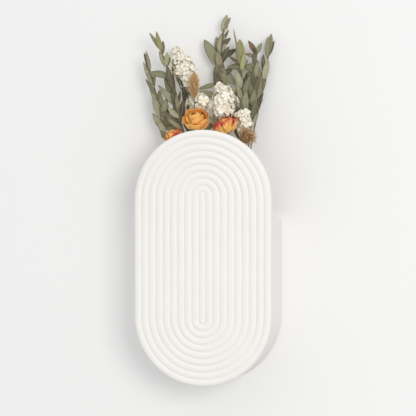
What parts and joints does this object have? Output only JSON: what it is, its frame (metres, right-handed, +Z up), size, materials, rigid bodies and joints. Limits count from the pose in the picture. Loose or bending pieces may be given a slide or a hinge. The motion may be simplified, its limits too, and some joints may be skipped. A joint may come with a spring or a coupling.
{
  "type": "wall vase",
  "caption": "Wall-hung vase: ribbed round-ended front panel with a pocket behind it, on a keyhole hanger, holding a lift-out bunch of dried flowers.",
  "frame": {"origin": "axis of the wall screw at the wall's surface", "axes": "+X right seen from the room, +Y into the wall, +Z up"},
  "size_m": [0.1183, 0.0833, 0.3076],
  "materials": {
    "matte_ceramic": "matte white bisque with a fine sandy tooth",
    "zinc_steel": "zinc-plated sheet",
    "screw_steel": "zinc-plated",
    "plug_nylon": "moulded nylon",
    "bumper_rubber": "soft clear-grey rubber",
    "band_rubber": "natural rubber",
    "dried_leaf": "dry grey-green leaf, dull",
    "white_floret": "dry papery cream",
    "orange_petal": "dry papery orange",
    "brown_bristle": "dry bristly brown"
  },
  "bodies": {
    "wall_fixing": {"wall_screw": "screw_steel", "wall_plug": "plug_nylon"},
    "vase": {"front_panel": "matte_ceramic", "pocket_shell": "matte_ceramic", "keyhole_plate": "zinc_steel", "hanger_screws": "screw_steel", "wall_bumpers": "bumper_rubber"},
    "bouquet": {"stem_band": "band_rubber", "eucalyptus_sprig_1": "dried_leaf", "eucalyptus_sprig_2": "dried_leaf", "eucalyptus_sprig_3": "dried_leaf", "eucalyptus_sprig_4": "dried_leaf", "eucalyptus_sprig_5": "dried_leaf", "eucalyptus_sprig_6": "dried_leaf", "white_sprig_1": "white_floret", "white_sprig_2": "white_floret", "white_sprig_3": "white_floret", "white_sprig_4": "white_floret", "orange_flower_1": "orange_petal", "orange_flower_2": "orange_petal", "orange_flower_3": "orange_petal", "brown_head_1": "brown_bristle", "brown_head_2": "brown_bristle"}
  },
  "joints": [
    {"name": "vase_lift", "type": "slide", "parent": "wall_fixing", "child": "vase", "axis": [0, 0, 1], "range_m": [0, 0.01]},
    {"name": "bouquet_lift", "type": "slide", "parent": "vase", "child": "bouquet", "axis": [0, 0, 1], "range_m": [0, 0.14]}
  ]
}
